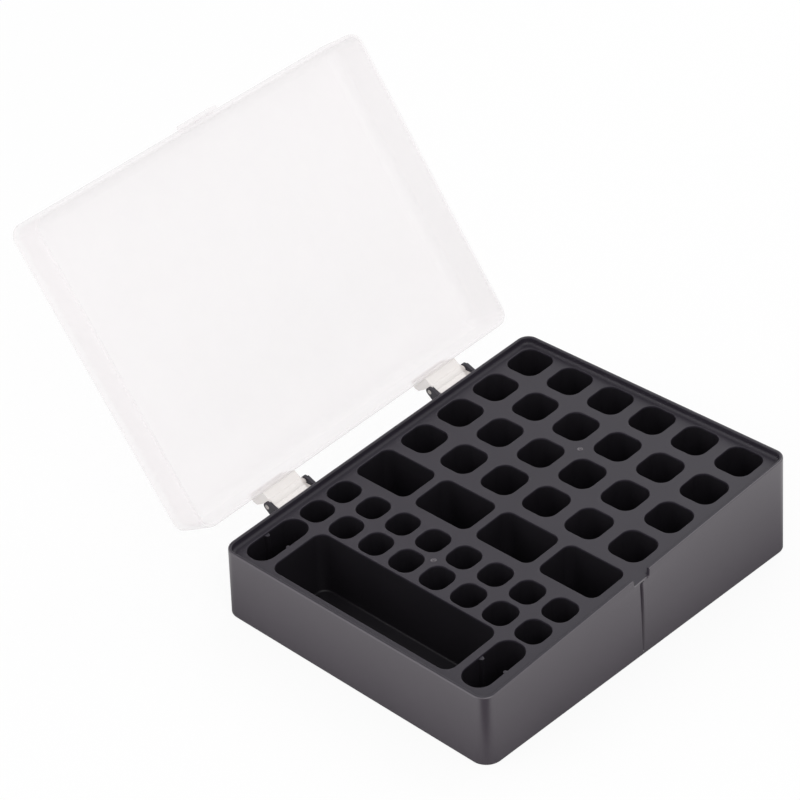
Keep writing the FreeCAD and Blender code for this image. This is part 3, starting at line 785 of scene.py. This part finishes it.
def reckon(nodes, links, kind, operation, *inputs):
    """Output of a new Math or VectorMath node, whose inputs are sockets or plain values."""
    node = nodes.new("ShaderNode" + kind)
    node.operation = operation
    for socket, value in zip(node.inputs, inputs):
        if isinstance(value, bpy.types.NodeSocket):
            links.new(value, socket)
        else:
            socket.default_value = value
    return node.outputs[0]


def fade(nodes, links, value, distance, near, far):
    """Output of a new Map Range node: near where value is 0 or less, and far from distance onwards."""
    node = nodes.new("ShaderNodeMapRange")
    for name, number in (("From Max", distance), ("To Min", near), ("To Max", far)):
        node.inputs[name].default_value = number
    links.new(value, node.inputs["Value"])
    return node.outputs["Result"]


def is_seen(nodes, links, direct, mirrored):
    """Share of plain white: direct for rays from the camera, mirrored for mirrored and refracted ones."""
    path = nodes.new("ShaderNodeLightPath").outputs
    mirror = reckon(nodes, links, "Math", "MAXIMUM", path["Is Glossy Ray"], path["Is Transmission Ray"])
    share = reckon(nodes, links, "Math", "MULTIPLY_ADD", mirror, mirrored, 0)
    return reckon(nodes, links, "Math", "MULTIPLY_ADD", path["Is Camera Ray"], direct, share)


def painted_table_shade(nodes, links):
    """Painted shade on the table: dim at the case's foot, rising to 1 away from it, and dim off its near
    corner.

    The distance from the foot is the greater one of those past its sides in x and in y. Off the near
    corner, towards +x and -y, it is the lesser one.
    """
    place = nodes.new("ShaderNodeTexCoord").outputs["Object"]
    middle = (case_middle[0] * MM, case_middle[1] * MM, 0)
    away = reckon(nodes, links, "VectorMath", "SUBTRACT", place, middle)
    size = reckon(nodes, links, "VectorMath", "ABSOLUTE", away)
    past_sides = nodes.new("ShaderNodeSeparateXYZ")
    half = (foot[0] * MM, foot[1] * MM, 0)
    links.new(reckon(nodes, links, "VectorMath", "SUBTRACT", size, half), past_sides.inputs[0])
    gap = reckon(nodes, links, "Math", "MAXIMUM", past_sides.outputs["X"], past_sides.outputs["Y"])
    shade_round_foot = fade(nodes, links, gap, SHADE_REACH * MM, SHADE_LEVEL, 1)
    past_corner = nodes.new("ShaderNodeSeparateXYZ")
    corner = (-foot[0] * MM, -foot[1] * MM, 0)
    toward = reckon(nodes, links, "VectorMath", "MULTIPLY_ADD", away, (1, -1, 0), corner)
    links.new(toward, past_corner.inputs[0])
    beyond = reckon(nodes, links, "Math", "MINIMUM", past_corner.outputs["X"], past_corner.outputs["Y"])
    shade_off_corner = fade(nodes, links, beyond, CORNER_SHADE_REACH * MM, 1, CORNER_SHADE_LEVEL)
    return reckon(nodes, links, "Math", "MULTIPLY", shade_round_foot, shade_off_corner)


def make_floor():
    """White table under the case.

    The camera sees mostly plain white with a share of its shading, and mirrored rays see white with
    painted shade towards the foot of the case and off its near corner.
    """
    material, nodes, links = new_material("white_table")
    out = nodes.new("ShaderNodeOutputMaterial")
    white = nodes.new("ShaderNodeEmission")
    paper = nodes.new("ShaderNodeBsdfDiffuse")
    paper.inputs["Color"].default_value = TABLE_TONE
    mix = nodes.new("ShaderNodeMixShader")
    links.new(is_seen(nodes, links, TABLE_WHITE, 1), mix.inputs["Fac"])
    from_camera = nodes.new("ShaderNodeLightPath").outputs["Is Camera Ray"]
    # Plain white for camera rays, and painted shade on the table for the others.
    white_or_shade = reckon(nodes, links, "Math", "MAXIMUM", from_camera, painted_table_shade(nodes, links))
    links.new(white_or_shade, white.inputs["Strength"])
    links.new(paper.outputs["BSDF"], mix.inputs[1])
    links.new(white.outputs["Emission"], mix.inputs[2])
    links.new(mix.outputs["Shader"], out.inputs["Surface"])
    mesh = bpy.data.meshes.new("floor")
    corners = [(TABLE_HALF * sx, TABLE_HALF * sy, 0) for sx, sy in ((-1, -1), (1, -1), (1, 1), (-1, 1))]
    mesh.from_pydata(corners, [], [(0, 1, 2, 3)])
    mesh.materials.append(material)
    floor = bpy.data.objects.new("floor", mesh)
    floor.location.z = -TABLE_DROP
    bpy.context.scene.collection.objects.link(floor)


def area_light(name, place, aim, size, power):
    """Square soft light at place, turned to aim, in metres and watts."""
    data = bpy.data.lights.new(name, "AREA")
    data.size = size
    data.energy = power
    light = bpy.data.objects.new(name, data)
    light.location = place
    light.rotation_euler = (Vector(aim) - Vector(place)).to_track_quat("-Z", "Y").to_euler()
    bpy.context.scene.collection.objects.link(light)


def make_lights():
    """White surroundings, seen as plain white and a little dimmer as a light, and the soft boxes."""
    world = bpy.data.worlds.new("studio")
    bpy.context.scene.world = world
    world.use_nodes = True
    nodes, links = world.node_tree.nodes, world.node_tree.links
    nodes.clear()
    out = nodes.new("ShaderNodeOutputWorld")
    seen = nodes.new("ShaderNodeBackground")
    lit = nodes.new("ShaderNodeBackground")
    lit.inputs["Strength"].default_value = WORLD_LEVEL
    mix = nodes.new("ShaderNodeMixShader")
    links.new(is_seen(nodes, links, 1, 1), mix.inputs["Fac"])
    links.new(lit.outputs["Background"], mix.inputs[1])
    links.new(seen.outputs["Background"], mix.inputs[2])
    links.new(mix.outputs["Shader"], out.inputs["Surface"])
    for name, (place, aim, size, power) in SOFT_BOXES.items():
        area_light(name, place, aim, size, power)


surface = moulded_surface()
smooth_black = plastic("smooth_black_plastic", surface, SMOOTH_BLACK,
                       roughness=0.3, refraction=1.8, grain_depth=0.02)
matt_black = plastic("matt_black_plastic", surface, MATT_BLACK,
                     roughness=0.5, refraction=1.46, grain_depth=0.02)
# Insides of the wells: the deck's black, darkened as painted shade.
well_painted_shade = plastic("well_painted_shade_plastic", surface, WELL_PAINTED_SHADE,
                     roughness=0.45, refraction=1.38, grain_depth=0.01)
milky = milky_plastic("milky_plastic", surface, MILKY, thin=0.31, thick=0.36)
dense_milky = milky_plastic("dense_milky_plastic", surface, DENSE_MILKY, thin=0.42, thick=0.5)
dress_nodes(milky, {"case_walls": smooth_black, "hinge_ears": matt_black, "latch_catch": smooth_black,
                    "hinge_lug": dense_milky, "hinge_pins": dense_milky})
make_wells(matt_black, well_painted_shade)
make_case_walls(smooth_black, matt_black)
make_catch(smooth_black)
make_gate_marks(smooth_black)
make_lid_shell(milky)
make_camera()
make_floor()
make_lights()
bpy.context.scene.view_settings.view_transform = "Standard"
